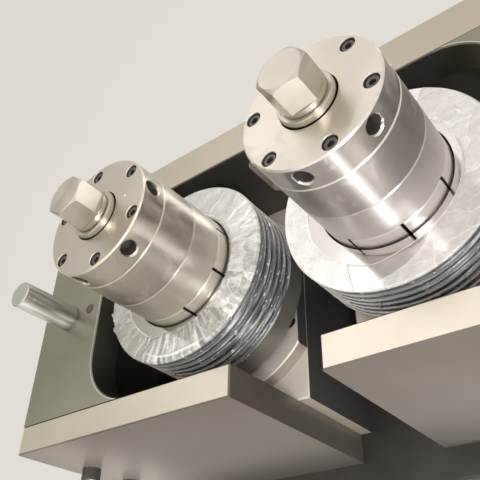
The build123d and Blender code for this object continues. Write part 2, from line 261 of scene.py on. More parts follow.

# %% [markdown]
# ## Turned alloy steel
# The rings on the spindles are turned and finish-ground steel. The tool leaves rings of fine marks, so a
# highlight spreads across them, up and down the side, and stays narrow round it: that is what anisotropy
# does, with the tangent running round the Z axis. The marks themselves are about 0.4 mm apart, too fine to
# show, so they are drawn at 0.8 mm. The level faces are painted paler than the sides, as painted light. The
# holes and the slots are painted dark as their shade and dulled by oil, oil darkens the joints between the
# rings, and a mask of radius and height finds these.

# %% Place on a roll head, for shaders
def head_place(tree):
    """Radius from the nearer spindle's axis and height, both in metres, and the place itself."""
    spot = add(tree, "TexCoord", give="Object")
    parts = add(tree, "SeparateXYZ", {"Vector": spot}).node.outputs
    across = add(tree, "Math", {0: parts["X"]}, operation="ABSOLUTE")
    offset = add(tree, "Math", {0: across, 1: axis_offset}, operation="SUBTRACT")
    flat = add(tree, "CombineXYZ", {"X": offset, "Y": parts["Y"]})
    radius = add(tree, "VectorMath", {0: flat}, operation="LENGTH")
    return radius, parts["Z"], spot


def on_left_head(tree, spot):
    """1 on the left roll head, 0 on the right one."""
    across = add(tree, "SeparateXYZ", {"Vector": spot}, give="X")
    return add(tree, "Math", {0: across, 1: 0.0}, operation="LESS_THAN")


def tilt_of(tree):
    """How far the surface looks up: 1 on a level top, 0 on an upright side."""
    normal = add(tree, "NewGeometry", give="Normal")
    return add(tree, "SeparateXYZ", {"Vector": normal}, give="Z")


def facing_up(tree):
    """1 on level faces that look up, 0 on upright and chamfered ones."""
    return add(tree, "MapRange", {"Value": tilt_of(tree), "From Min": 0.9, "From Max": 0.98})


def chamfered(tree):
    """1 on the chamfers, which are what leans at 45 degrees."""
    return add(tree, "Math", {0: tilt_of(tree), 1: 0.707, 2: 0.2}, operation="COMPARE")


# %% Patches, scratches and turning marks, for shaders
mark_pitch, scratch_width = 0.8 * mm, 0.5 * mm


def patches(tree, spot, size, detail, first, second):
    """Noise in soft patches of a size, and a tone that wanders between two colours with it."""
    wander = add(tree, "TexNoise", {"Vector": spot, "Scale": 1 / size, "Detail": detail})
    tone = add(tree, "Mix", {FACTOR: wander, FIRST: first, SECOND: second}, data_type="RGBA")
    return wander, tone


def ground_scratches(tree, spot, scale):
    """Scratches of a grinding wheel, drawn out by a scale, as noise, and their bumps."""
    drawn = add(tree, "Mapping", {"Vector": spot, "Scale": scale})
    scratches = add(tree, "TexNoise", {"Vector": drawn, "Scale": 1 / scratch_width, "Detail": 3.0})
    bumps = add(tree, "Bump", {"Height": scratches, "Strength": 0.5, "Distance": 0.01 * mm})
    return scratches, bumps


def turning_marks(tree, radius, height):
    """The fine marks of a lathe tool, as noise, and the direction that runs round the spindle."""
    place = add(tree, "CombineXYZ", {"X": radius, "Z": height})
    marks = add(tree, "TexNoise", {"Vector": place, "Scale": 1 / mark_pitch})
    round_axis = add(tree, "Tangent", direction_type="RADIAL", axis="Z")
    return marks, round_axis


# %% Turned steel: its tones
turned, tree = material("turned_alloy_steel")
radius, height, spot = head_place(tree)
level = facing_up(tree)
upright = add(tree, "MapRange", {"Value": level, "To Min": 1.0, "To Max": 0.0})
stain_size = 45 * mm
stain = add(tree, "TexNoise", {"Vector": spot, "Scale": 1 / stain_size, "Detail": 4.0, "Roughness": 0.55})
# The level faces are painted paler than the upright sides of the same steel: painted light
side_tone = add(tree, "Mix", {FACTOR: stain, FIRST: "#B0AAA8", SECOND: "#C4BFBE"}, data_type="RGBA")
face_tone = add(tree, "Mix", {FACTOR: stain, FIRST: "#D8CFC2", SECOND: "#E2DBD0"}, data_type="RGBA")
tone = add(tree, "Mix", {FACTOR: level, FIRST: side_tone, SECOND: face_tone}, data_type="RGBA")
print("tones of", turned.name, "nodes", len(tree.nodes))

# %% Turned steel: where the painted shade and the oil lie
# Painted shade, with oil, starts inside the chamfer of a ring and below the chamfer of a hole, and is dark
# within a millimetre
ring_edge = hub_radius - 1.8 * mm
hole_edge = hub_face - 0.6 * mm
inside = add(tree, "MapRange", {"Value": radius, "From Min": ring_edge, "From Max": ring_edge - 1 * mm})
sunk = add(tree, "MapRange", {"Value": height, "From Min": hole_edge, "From Max": hole_edge - 1 * mm})
hole_shade_and_oil = add(tree, "Math", {0: inside, 1: sunk}, operation="MULTIPLY")
# A dark line 0.8 mm high lies just above each joint
half_line = 0.4 * mm
lines = 0.0
for joint in joint_heights:
    near = add(tree, "Math", {0: height, 1: joint + half_line, 2: half_line}, operation="COMPARE")
    lines = add(tree, "Math", {0: near, 1: lines}, operation="ADD")
dark = add(tree, "Math", {0: hole_shade_and_oil, 1: lines}, operation="MAXIMUM")
# A thin coat of old oil has yellowed the sides of the left head, and the right one has been wiped
yellowed = add(tree, "Math", {0: on_left_head(tree, spot), 1: upright}, operation="MULTIPLY")
print("oil lies below", round(hole_edge, 4), "and just above", [round(h, 4) for h in joint_heights])

# %% Turned steel: smears, paler rings and the finished tone
# Hands and rags leave smears of grease with clear edges, some 25 mm across
smear_size = 25 * mm
smear = add(tree, "TexNoise", {"Vector": spot, "Scale": 1 / smear_size, "Detail": 3.0, "Distortion": 0.6})
smeared = add(tree, "MapRange", {"Value": smear, "From Min": 0.56, "From Max": 0.585, "To Max": 0.4})
# The lower spacer is painted paler than the nut and the upper spacer, and the collar paler still: on the
# collar this is painted light against its shade
below_upper, below_lower = [add(tree, "Math", {0: height, 1: joint}, operation="LESS_THAN")
                            for joint in (joint_heights[1], joint_heights[0])]
# One over the other: the painted highlight on the chamfers, the smears, the paler rings, the yellow coat, and
# the painted shade in the holes with the oil in the joints
for where, shade, blend in ((chamfered(tree), "#FFF9F0", "MIX"), (smeared, "#D6D1CE", "MIX"),
                            (below_upper, "#D5D0CE", "MIX"), (below_lower, "#E7E3E1", "MIX"),
                            (yellowed, "#FEFDF1", "MULTIPLY"), (dark, "#6A6560", "MIX")):
    tone = add(tree, "Mix", {FACTOR: where, FIRST: tone, SECOND: shade}, data_type="RGBA", blend_type=blend)
print("masks of", turned.name, "nodes", len(tree.nodes))

# %% Turned steel: gloss and marks
# Oil and grit in the holes dull the metal, which adds to their painted shade
shine = add(tree, "MapRange", {"Value": hole_shade_and_oil, "To Min": 1.0, "To Max": 0.45})
marks, round_axis = turning_marks(tree, radius, height)
gloss = add(tree, "MapRange", {"Value": marks, "To Min": 0.33, "To Max": 0.39})
# Each ring came off the lathe with its own finish: change of roughness from each joint upwards
for joint, change in zip(joint_heights, (0.02, 0.0, -0.08)):
    above = add(tree, "Math", {0: height, 1: joint}, operation="GREATER_THAN")
    gloss = add(tree, "Math", {0: above, 1: change, 2: gloss}, operation="MULTIPLY_ADD")
gloss = add(tree, "Math", {0: smeared, 1: 0.15, 2: gloss}, operation="MULTIPLY_ADD")
# The lathe also leaves a soft waviness, under a tenth of a millimetre deep, in which a highlight wavers
wave_size = 26 * mm
wave = add(tree, "TexNoise", {"Vector": spot, "Scale": 1 / wave_size, "Detail": 1.0})
waviness = add(tree, "Bump", {"Height": wave, "Strength": upright, "Distance": 0.08 * mm})
grooves = add(tree, "Bump", {"Height": marks, "Strength": upright, "Distance": 0.012 * mm,
                             "Normal": waviness})
# The face was ground straight across after turning, so its marks run one way (sockets 4 and 5 hold vectors)
grinding_way = (0.8, -0.6, 0.0)
grain_way = add(tree, "Mix", {0: level, 4: round_axis, 5: grinding_way}, data_type="VECTOR")
close(turned, {"Base Color": tone, "Metallic": shine, "Roughness": gloss, "Normal": grooves,
               "Anisotropic": 0.8, "Anisotropic Rotation": 0.25, "Tangent": grain_way})

# %% [markdown]
# ## Milled and ground spindle steel
# The hexagon was milled and then ground flat, so it mirrors softly and evenly. The round neck below it was
# turned, with a thin dark line of oil in the groove at its foot.

# %% Spindle steel
spindle_steel, tree = material("ground_spindle_steel")
radius, height, spot = head_place(tree)
tone = patches(tree, spot, 18 * mm, 5.0, "#C6BDB2", "#D6CEC4")[1]
foot_line = hub_face + 0.9 * mm
foot = add(tree, "MapRange", {"Value": height, "From Min": foot_line, "From Max": hub_face + 0.2 * mm})
tone = add(tree, "Mix", {FACTOR: foot, FIRST: tone, SECOND: "#3A3531"}, data_type="RGBA")
marks, round_axis = turning_marks(tree, radius, height)
gloss = add(tree, "MapRange", {"Value": marks, "To Min": 0.26, "To Max": 0.31})
neck_top = hub_face + 12.5 * mm
on_neck = add(tree, "MapRange", {"Value": height, "From Min": neck_top, "From Max": neck_top - 0.5 * mm,
                                 "To Max": 0.5})
grooves = add(tree, "Bump", {"Height": marks, "Strength": on_neck, "Distance": 0.01 * mm})
close(spindle_steel, {"Base Color": tone, "Metallic": 1.0, "Roughness": gloss, "Normal": grooves,
                      "Anisotropic": 0.5, "Anisotropic Rotation": 0.25, "Tangent": round_axis})

# %% [markdown]
# ## Surface-ground plate
# The beam, the cheeks and the end walls are thick plate, ground along their length. Grinding leaves straight
# fine scratches, so the noise is drawn out forty times along X. Upright faces are painted darker than the
# tops as painted shade, walls that look into the housing are painted darker still as their shade, and all
# of them are duller lower down.

# %% Ground plate steel: level and upright tones
ground, tree = material("ground_plate_steel")
spot = add(tree, "TexCoord", give="Object")
parts = add(tree, "SeparateXYZ", {"Vector": spot}).node.outputs
level = facing_up(tree)
scratches, grain = ground_scratches(tree, spot, (1 / 40, 1, 1))
cloud, top_tone = patches(tree, spot, 60 * mm, 4.0, "#D9CEBE", "#E8DFD3")
# The upright faces are painted much darker than the tops of the same steel: painted shade
side_tone = add(tree, "Mix", {FACTOR: cloud, FIRST: "#766C64", SECOND: "#8A8078"}, data_type="RGBA")
# The rear beam lies behind the rolls, where less light falls and more oil is thrown
behind = add(tree, "MapRange", {"Value": parts["Y"], "From Min": 0.05, "From Max": 0.1})
top_tone = add(tree, "Mix", {FACTOR: behind, FIRST: top_tone, SECOND: "#C3B8A8"}, data_type="RGBA")
# Walls that face into the housing are painted dark as their shade
across = add(tree, "VectorMath", {0: spot}, operation="ABSOLUTE")
across = add(tree, "SeparateXYZ", {"Vector": across}).node.outputs
inner_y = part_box("rear_beam")[0].y + 0.5 * mm
outer_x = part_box("right_end_wall")[1].x - 0.5 * mm
inner = add(tree, "Math", {0: across["Y"], 1: inner_y}, operation="LESS_THAN")
short = add(tree, "Math", {0: across["X"], 1: outer_x}, operation="LESS_THAN")
inner = add(tree, "Math", {0: inner, 1: short}, operation="MULTIPLY")
side_tone = add(tree, "Mix", {FACTOR: inner, FIRST: side_tone, SECOND: "#57544F"}, data_type="RGBA")
tone = add(tree, "Mix", {FACTOR: level, FIRST: side_tone, SECOND: top_tone}, data_type="RGBA")
print("tones of", ground.name, "nodes", len(tree.nodes))

# %% Ground plate steel: duller lower down
depth = add(tree, "MapRange", {"Value": parts["Z"], "From Min": housing_top - 10 * mm, "From Max": bed_top})
tone = add(tree, "Mix", {FACTOR: depth, FIRST: tone, SECOND: "#9A968F"}, data_type="RGBA")
gloss = add(tree, "MapRange", {"Value": scratches, "To Min": 0.3, "To Max": 0.42})
# Upright faces are dull with oil and dust, so they shine less as metal than the tops
shine = add(tree, "MapRange", {"Value": level, "To Min": 0.6, "To Max": 1.0})
close(ground, {"Base Color": tone, "Metallic": shine, "Roughness": gloss, "Normal": grain})

# %% [markdown]
# ## Oiled plate
# The two top plates are ground too, along Y, and a film of oil has turned them olive. Three things break
# that up: the front has been wiped, a painted highlight runs along the edge of the housing's opening, and
# pale dust has settled in the tapped hole. Each is found by a distance: from the front, from the opening,
# from the hole.

# %% Oiled plate steel: where it was wiped, where the painted highlight lies, and where dust lies
oiled_plate, tree = material("oiled_plate_steel")
spot = add(tree, "TexCoord", give="Object")
parts = add(tree, "SeparateXYZ", {"Vector": spot}).node.outputs
scratches, grain = ground_scratches(tree, spot, (1, 1 / 40, 1))
cloud, tone = patches(tree, spot, 80 * mm, 5.0, "#8B8A7A", "#A39E90")
wiped = add(tree, "MapRange", {"Value": parts["Y"], "From Min": -0.06, "From Max": -0.16})
# The painted highlight is 2 mm wide, round an opening with round corners: what counts is how far a point lies
# past the corner's centre, and 10 m in height make sure that height never counts
corner_radius, edge_highlight_width = 70 * mm, 2 * mm
plate_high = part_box("left_top_plate")[1]
corner_centre = (-plate_high.x, plate_high.y - corner_radius, 10.0)
across = add(tree, "VectorMath", {0: spot}, operation="ABSOLUTE")
past = add(tree, "VectorMath", {0: across, 1: corner_centre}, operation="SUBTRACT")
past = add(tree, "VectorMath", {0: past, 1: (0, 0, 0)}, operation="MAXIMUM")
away = add(tree, "VectorMath", {0: past}, operation="LENGTH")
edge_highlight = add(tree, "Math", {0: away, 1: corner_radius + edge_highlight_width}, operation="LESS_THAN")
edge_highlight = add(tree, "Math", {0: edge_highlight, 1: facing_up(tree)}, operation="MULTIPLY")
# The dust lies below the hole's mouth, and within a circle round the hole
hole_place, hole_reach = (292 * mm, 0, 0), 8 * mm
hole_mouth = plate_high.z - 0.5 * mm
sunk = add(tree, "MapRange", {"Value": parts["Z"], "From Min": hole_mouth, "From Max": hole_mouth - 1 * mm})
from_hole = add(tree, "VectorMath", {0: across, 1: hole_place}, operation="SUBTRACT")
from_hole = add(tree, "VectorMath", {0: from_hole, 1: (1, 1, 0)}, operation="MULTIPLY")
from_hole = add(tree, "VectorMath", {0: from_hole}, operation="LENGTH")
in_hole = add(tree, "Math", {0: from_hole, 1: hole_reach}, operation="LESS_THAN")
dusty = add(tree, "Math", {0: sunk, 1: in_hole}, operation="MULTIPLY")
print("masks of", oiled_plate.name, "nodes", len(tree.nodes))

# %% Oiled plate steel: tone and gloss
for where, shade in ((wiped, "#A9A898"), (edge_highlight, "#FFFDF4"), (dusty, "#B4A898")):
    tone = add(tree, "Mix", {FACTOR: where, FIRST: tone, SECOND: shade}, data_type="RGBA")
# Dusty metal scatters light more than it mirrors it, and the painted highlight is less metallic so that it
# shows white
dust_and_edge_highlight = add(tree, "Math", {0: dusty, 1: edge_highlight}, operation="MAXIMUM")
shine = add(tree, "MapRange", {"Value": dust_and_edge_highlight, "To Min": 1.0, "To Max": 0.25})
gloss = add(tree, "MapRange", {"Value": cloud, "To Min": 0.3, "To Max": 0.42})
close(oiled_plate, {"Base Color": tone, "Metallic": shine, "Roughness": gloss, "Normal": grain})

# %% [markdown]
# ## Hardened roll steel
# The roll is hardened tool steel. Its face is polished almost to a mirror, and its grooves are dark with oil
# and painted shade under the film, which the radius finds: a groove is what lies more than a millimetre inside
# the rim. The plain shoulder below the grooves is bare and dull, and the recess round the collar's foot is
# painted dark as its shade.

# %% Roll steel: face, grooves, shoulder and recess
roll_steel, tree = material("hardened_roll_steel")
radius, height, spot = head_place(tree)
tone = add(tree, "Mix", {FACTOR: facing_up(tree), FIRST: "#D2CFCB", SECOND: "#E4DEDC"}, data_type="RGBA")
# The left roll has dulled more than the right one
dulled = on_left_head(tree, spot)
in_groove = add(tree, "MapRange", {"Value": radius, "From Min": roll_radius - 0.3 * mm,
                                   "From Max": roll_radius - 1.6 * mm})
below_rim = add(tree, "MapRange", {"Value": height, "From Min": roll_top - 0.4 * mm,
                                   "From Max": roll_top - 1.2 * mm})
dark = add(tree, "Math", {0: in_groove, 1: below_rim}, operation="MULTIPLY")
shoulder_top = roll_bottom + 34 * mm
on_shoulder = add(tree, "MapRange", {"Value": height, "From Min": shoulder_top,
                                     "From Max": shoulder_top - 1 * mm})
off_shoulder = add(tree, "Math", {0: 1.0, 1: on_shoulder}, operation="SUBTRACT")
dark = add(tree, "Math", {0: dark, 1: off_shoulder}, operation="MULTIPLY")
# What lies in the recess is near the collar and below the face
recess_edge = hub_radius + 4.5 * mm
recess = add(tree, "MapRange", {"Value": radius, "From Min": recess_edge, "From Max": recess_edge - 1 * mm})
recess = add(tree, "Math", {0: recess, 1: below_rim}, operation="MULTIPLY")
print("masks of", roll_steel.name, "nodes", len(tree.nodes))

# %% Roll steel: tone and gloss
# The grooves are darkened by oil and painted shade, and the recess round the collar is painted dark as its
# shade
for where, shade in ((dulled, "#B4B2A8"), (dark, "#6E7076"), (on_shoulder, "#8C8780"), (recess, "#23211F")):
    tone = add(tree, "Mix", {FACTOR: where, FIRST: tone, SECOND: shade}, data_type="RGBA")
marks, round_axis = turning_marks(tree, radius, height)
gloss = add(tree, "MapRange", {"Value": marks, "To Min": 0.1, "To Max": 0.18})
# The grooved band was ground and not polished, so it is less of a mirror than the face
gloss = add(tree, "Math", {0: below_rim, 1: 0.16, 2: gloss}, operation="MULTIPLY_ADD")
grooves = add(tree, "Bump", {"Height": marks, "Strength": 0.3, "Distance": 0.01 * mm})
shine = add(tree, "MapRange", {"Value": on_shoulder, "To Min": 1.0, "To Max": 0.35})
close(roll_steel, {"Base Color": tone, "Metallic": shine, "Roughness": gloss, "Normal": grooves,
                   "Anisotropic": 0.3, "Anisotropic Rotation": 0.25, "Tangent": round_axis})

# %% [markdown]
# ## Machined cast steel
# The chocks and their covers are castings, milled but not ground, and dulled by oil and handling. They are
# the least bright steel of the machine: only part of the surface still shines as metal. Their tops are
# painted paler than their sides as painted light, their chamfers carry a painted highlight, and the two
# sides that face each other across the gap are painted dark as their shade.

# %% Machined cast steel
cast, tree = material("machined_cast_steel")
spot = add(tree, "TexCoord", give="Object")
level = facing_up(tree)
cutter_pitch = 1.2 * mm
milling = add(tree, "TexNoise", {"Vector": spot, "Scale": 1 / cutter_pitch, "Detail": 2.0})
cloud, side_tone = patches(tree, spot, 35 * mm, 5.0, "#BEB2A7", "#D2C6BA")
# The tops are painted paler than the sides: painted light, which also lifts them out of the shade under the
# rolls
top_tone = add(tree, "Mix", {FACTOR: cloud, FIRST: "#E2D8CE", SECOND: "#F2E9DF"}, data_type="RGBA")
tone = add(tree, "Mix", {FACTOR: level, FIRST: side_tone, SECOND: top_tone}, data_type="RGBA")
across = add(tree, "VectorMath", {0: spot}, operation="ABSOLUTE")
across = add(tree, "SeparateXYZ", {"Vector": across}, give="X")
inner_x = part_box("right_chock")[0].x + 0.5 * mm
inner = add(tree, "Math", {0: across, 1: inner_x}, operation="LESS_THAN")
# The chamfers get a painted highlight, and the sides facing each other across the gap get painted shade
for where, shade in ((chamfered(tree), "#FFF6E6"), (inner, "#5A5856")):
    tone = add(tree, "Mix", {FACTOR: where, FIRST: tone, SECOND: shade}, data_type="RGBA")
gloss = add(tree, "MapRange", {"Value": cloud, "To Min": 0.42, "To Max": 0.58})
grain = add(tree, "Bump", {"Height": milling, "Strength": 0.5, "Distance": 0.03 * mm})
close(cast, {"Base Color": tone, "Metallic": 0.15, "Roughness": gloss, "Normal": grain})

# %% [markdown]
# ## The other metals
# Hard chrome plating on the guide pins is the brightest and smoothest of the metals. The adjusting screws
# are plain turned steel and run in tin bronze. The bed is blackened by oil and scale and painted darker still
# as the shade under the rolls, and the socket screws are black oxide: dark, with a low sheen. Those four need
# no more than a tone and a gloss that wander together, so one function makes them, each with patches of its
# own size. The anchor nuts are zinc-plated, which leaves small crystals that a cell pattern draws.

# %% Hard chrome
chrome, tree = material("hard_chrome_plate")
spot = add(tree, "TexCoord", give="Object")
flow = add(tree, "Mapping", {"Vector": spot, "Scale": (1, 1, 1 / 15)})
polish, tone = patches(tree, flow, 3 * mm, 3.0, "#C9CBC5", "#D8D8D2")
gloss = add(tree, "MapRange", {"Value": polish, "To Min": 0.26, "To Max": 0.36})
close(chrome, {"Base Color": tone, "Metallic": 1.0, "Roughness": gloss})


# %% Screw steel, bronze, blackened bed and black oxide
def plain_metal(name, size, detail, tones, rough, metallic=1.0):
    """A metal whose tone and roughness wander together in patches of a size."""
    made, tree = material(name)
    spot = add(tree, "TexCoord", give="Object")
    wander, tone = patches(tree, spot, size, detail, *tones)
    gloss = add(tree, "MapRange", {"Value": wander, "To Min": rough[0], "To Max": rough[1]})
    return close(made, {"Base Color": tone, "Metallic": metallic, "Roughness": gloss})


screw_steel = plain_metal("oiled_screw_steel", 9 * mm, 4.0, ("#77716A", "#9C958C"), (0.25, 0.42))
bronze = plain_metal("tin_bronze", 14 * mm, 5.0, ("#A07A48", "#C9A26E"), (0.45, 0.28))
# The bed's dark tones are oil and scale with painted shade
bed_steel = plain_metal("oil_and_shade_blackened_steel", 40 * mm, 6.0, ("#3A3938", "#56524D"), (0.35, 0.55), 0.4)
black_oxide = plain_metal("black_oxide_steel", 2.5 * mm, 3.0, ("#504F4E", "#757371"), (0.35, 0.5), 0.8)

# %% Zinc plate
zinc, tree = material("zinc_plated_steel")
spot = add(tree, "TexCoord", give="Object")
crystal_size = 2 * mm
spangle = add(tree, "TexVoronoi", {"Vector": spot, "Scale": 1 / crystal_size})
tone = add(tree, "Mix", {FACTOR: spangle, FIRST: "#AEB3B5", SECOND: "#CDD0CF"}, data_type="RGBA")
close(zinc, {"Base Color": tone, "Metallic": 1.0, "Roughness": 0.38})

# %% [markdown]
# ## Machine enamel
# The pedestal is painted with alkyd machine enamel, sprayed on. Spraying leaves an orange peel of soft bumps
# some 2 mm across, and the paint is rubbed and dusty towards the floor.

# %% Enamel
enamel, tree = material("alkyd_machine_enamel")
spot = add(tree, "TexCoord", give="Object")
height = add(tree, "SeparateXYZ", {"Vector": spot}, give="Z")
peel_size = 2 * mm
peel = add(tree, "TexNoise", {"Vector": spot, "Scale": 1 / peel_size, "Detail": 1.0})
patch, tone = patches(tree, spot, 120 * mm, 6.0, "#66736B", "#748177")
dust_band = add(tree, "MapRange", {"Value": height, "From Min": 160 * mm, "From Max": 0.0, "To Max": 0.55})
dust = add(tree, "Math", {0: dust_band, 1: patch}, operation="MULTIPLY")
tone = add(tree, "Mix", {FACTOR: dust, FIRST: tone, SECOND: "#8D877A"}, data_type="RGBA")
gloss = add(tree, "MapRange", {"Value": patch, "To Min": 0.28, "To Max": 0.45})
skin = add(tree, "Bump", {"Height": peel, "Strength": 0.4, "Distance": 0.08 * mm})
close(enamel, {"Base Color": tone, "Roughness": gloss, "Normal": skin, "IOR": 1.5, "Coat Weight": 0.3,
               "Coat Roughness": 0.2})

# %% [markdown]
# ## Which solid wears which finish
# Each solid keeps its shape and takes one material by its name.

# %% Dress the solids
finishes = {
    "lock_nut": turned, "upper_spacer": turned, "lower_spacer": turned, "slotted_collar": turned,
    "spindle": spindle_steel, "grooved_roll": roll_steel, "bearing_cover": cast, "chock": cast,
    "rear_beam": ground, "front_cheek": ground, "end_wall": ground, "top_plate": oiled_plate,
    "guide_pin": chrome, "adjusting_screw": screw_steel, "screw_keeper": screw_steel, "screw_nut": bronze,
    "bed_plate": bed_steel, "pedestal": enamel, "foot": enamel, "roll_film": turned,
}
for name, node in nodes.items():
    piece = name.removeprefix("left_").removeprefix("right_")
    node.data.materials.clear()
    node.data.materials.append(finishes["pedestal" if piece.startswith("pedestal") else piece])
print("dressed", len(nodes), "solids in", len(set(m.name for m in finishes.values())), "finishes")

# %% [markdown]
# ## Stretch film
# Each roll is still wrapped in clear polyethylene film against rust. It covers the roll's face from near the
# collar, goes over the rim and clings to the grooved band. It could be a cloth simulation, but film under
# tension doesn't fall: it bridges, pleats and crumples into flat facets with straight creases. So it is one
# grid of points round the roll, laid a hair above the steel and sagging into each groove, and its folds come
# from a crumpled sheet: random points at random heights, joined by triangles.
#
# One layer of film is clear, and where it lies in several layers it turns milky. How many layers lie at a
# point is stored in the mesh, together with painted light: painted highlights on the band's lands, painted
# glints and a painted highlight along the left film's fold by the rim are more opacity, and painted shade
# along the right film's large creases is less. The material reads it all as its opacity. Several layers also
# reflect like one layer of a denser plastic, so the IOR is set higher than the 1.5 of polyethylene.

# %% Film material
film_look, tree = material("polyethylene_stretch_film")
spot = add(tree, "TexCoord", give="Object")
haze_size = 9 * mm
haze = add(tree, "TexNoise", {"Vector": spot, "Scale": 1 / haze_size, "Detail": 4.0, "Roughness": 0.6})
milk = add(tree, "MapRange", {"Value": haze, "From Min": 0.3, "From Max": 0.7, "To Min": 0.8,
                              "To Max": 1.12})
# The mesh attribute holds the film's layers with its painted highlights and shade, read as opacity
layers_and_painted_light = add(tree, "Attribute", give="Fac", attribute_name="layers_and_painted_light")
cover = add(tree, "Math", {0: layers_and_painted_light, 1: milk}, operation="MULTIPLY", use_clamp=True)
close(film_look, {"Base Color": "#FDFCFA", "Roughness": 0.11, "IOR": 2.2, "Alpha": cover,
                  "Specular IOR Level": 0.8})

# %% Film edges
# Each line is a list of pairs: degrees round the roll from the X axis, and a value at that angle
# Where the film starts, in millimetres from the spindle's axis
film_hem = {
    "left": [(-180, 84), (-154, 86), (-114, 85), (-106, 80), (-89, 76), (20, 74), (120, 76), (180, 84)],
    "right": [(-180, 86), (-160, 88), (-105, 88), (-84, 81), (-60, 79), (60, 79), (180, 86)],
}
# On the right roll one clear layer lies between the hem and this line, and shows the polished face
clear_edge = [(-122, 86), (-111, 116), (-104, 113), (-99, 106), (-82, 97), (-70, 88), (-60, 79)]
# Outside these angles the right film lies in many layers
thin_arc = (-111, 60)
# How crumpled the left film's face is, going round: smooth at the back, in shards at the front right
crumpling = [(-180, 0.5), (-125, 0.55), (-75, 0.7), (-50, 1.15), (0, 1.0), (25, 0.6), (50, 0.22),
             (140, 0.22), (180, 0.5)]
# How milky it is there: one layer at the front left, more where it was wound over twice
milkiness = [(-180, 0.34), (-150, 0.24), (-100, 0.26), (-62, 0.48), (-40, 0.68), (20, 0.74), (60, 0.64),
             (150, 0.6), (180, 0.34)]
# Where the left film is drawn into pleats that run out from the collar, and where its fold lies by the rim
# with a painted highlight along it
pleated = [(-135, 0), (-115, 1), (-70, 1), (-50, 0)]
rim_fold_and_highlight_arc = [(-118, 0), (-106, 1), (-74, 1), (-66, 0)]
# Where its torn edge stands up at the rim
torn = [(-176, 0), (-168, 1), (-152, 1), (-144, 0)]
# How ragged the hems are, in how many waves, and a number that makes the two differ
ragged, rag_waves, rag_seed = {"left": 1.2 * mm, "right": 0.3 * mm}, 14, {"left": 4, "right": 5}


def along(line, degrees):
    """The value at an angle on a line of (degrees, value) pairs, and 0 where it has none."""
    for (before, first), (after, second) in zip(line, line[1:]):
        if before <= degrees <= after:
            return first + (second - first) * (degrees - before) / (after - before)
    return 0.0


# %% Film: crumpled sheets to take the folds from
# Multiples of this number, less their whole part, are spread evenly between 0 and 1
spread = 0.618


def crumpled_sheet(seed, spacing, lift):
    """Flat facets with straight creases: random points at random heights, joined by triangles."""
    draw = random.Random(seed)
    reach = roll_radius + 80 * mm
    count = int((2 * reach / spacing) ** 2)
    spots = [Vector((draw.uniform(-reach, reach), draw.uniform(-reach, reach))) for _ in range(count)]
    flat, _, triangles = delaunay_2d_cdt(spots, [], [], 0, 1e-6)[:3]
    print("facets", len(triangles), "about", round(spacing * 1000, 1), "mm")
    points = [Vector((p.x, p.y, draw.uniform(0, lift))) for p in flat]
    return BVHTree.FromPolygons(points, triangles), points, triangles


def fold_at(sheet, place, width):
    """Height of a crumpled sheet at a place, a tone from 0 to 1 for its facet, and how near a crease is."""
    surface, points, triangles = sheet
    hit, _, number, _ = surface.ray_cast(place, Vector((0, 0, -1)))
    crease = 0.0
    corners = triangles[number]
    for first, second in zip(corners, (*corners[1:], corners[0])):
        # Only some edges are pressed into a white crease, and each to its own degree
        pressed = ((first + second) * spread + first * second * 0.137) % 1.0
        if pressed > 0.5:
            run = points[second].xy - points[first].xy
            off = abs((hit.xy - points[first].xy).cross(run)) / run.length
            crease = max(crease, (2 * pressed - 0.8) * max(0.0, 1 - off / width))
    return hit.z, (number * spread) % 1.0, crease


large_folds = {"left": crumpled_sheet(3, 24 * mm, 3.4 * mm), "right": crumpled_sheet(5, 25 * mm, 3.2 * mm)}
small_folds = {"left": crumpled_sheet(7, 9.5 * mm, 1.2 * mm), "right": crumpled_sheet(9, 11 * mm, 1.1 * mm)}

# %% Film: its way over the rim and down the band
film_lift = 0.4 * mm
film_reach = roll_radius + 3.4 * mm
rim_bend, groove_sag = 1.3 * mm, 1.5 * mm
groove_pitch, band_edge = 9.6 * mm, 1.5 * mm
band_low = roll_top - 6 * groove_pitch - 2 * band_edge
around = 640
face_rows, bend_rows, band_rows = 36, 5, 90


def film_profile(start):
    """Places (radius, height) from the hem over the rim and down the band."""
    flat_end = roll_radius + film_lift - rim_bend
    top = roll_top + film_lift
    steps = [(start + (flat_end - start) * i / face_rows, top) for i in range(face_rows + 1)]
    for i in range(1, bend_rows + 1):
        turn = math.pi / 2 * i / bend_rows
        steps.append((flat_end + rim_bend * math.sin(turn), top - rim_bend * (1 - math.cos(turn))))
    top = steps[-1][1]
    for i in range(1, band_rows + 1):
        z = top + (band_low - top) * i / band_rows
        across = ((roll_top - band_edge - z) / groove_pitch) % 1.0
        sag = groove_sag * max(0.0, math.sin(math.pi * across)) ** 1.4
        if z > roll_top - band_edge or z < band_low + band_edge:
            sag = 0.0
        steps.append((roll_radius + film_lift - sag, z))
    return steps


def smooth_noise(angle, size, height=0.0, stretch=1.0):
    """Noise round the roll, in patches of a size, and drawn out along the rim by a stretch."""
    arc = Vector((math.cos(angle), math.sin(angle), 0)) * roll_radius
    return noise.noise(arc / (size * stretch) + Vector((0, 0, height / size)))


# %% Film: folds on the grooved band
# Sizes are measured across the streaks, the painted gleams and the painted glints, and a streak sinks by its
# slope in a length of 1
streak_size, streak_stretch, streak_slope = 2.2 * mm, 16, 0.02
painted_gleam_size, painted_glint_size = 24 * mm, 2.4 * mm


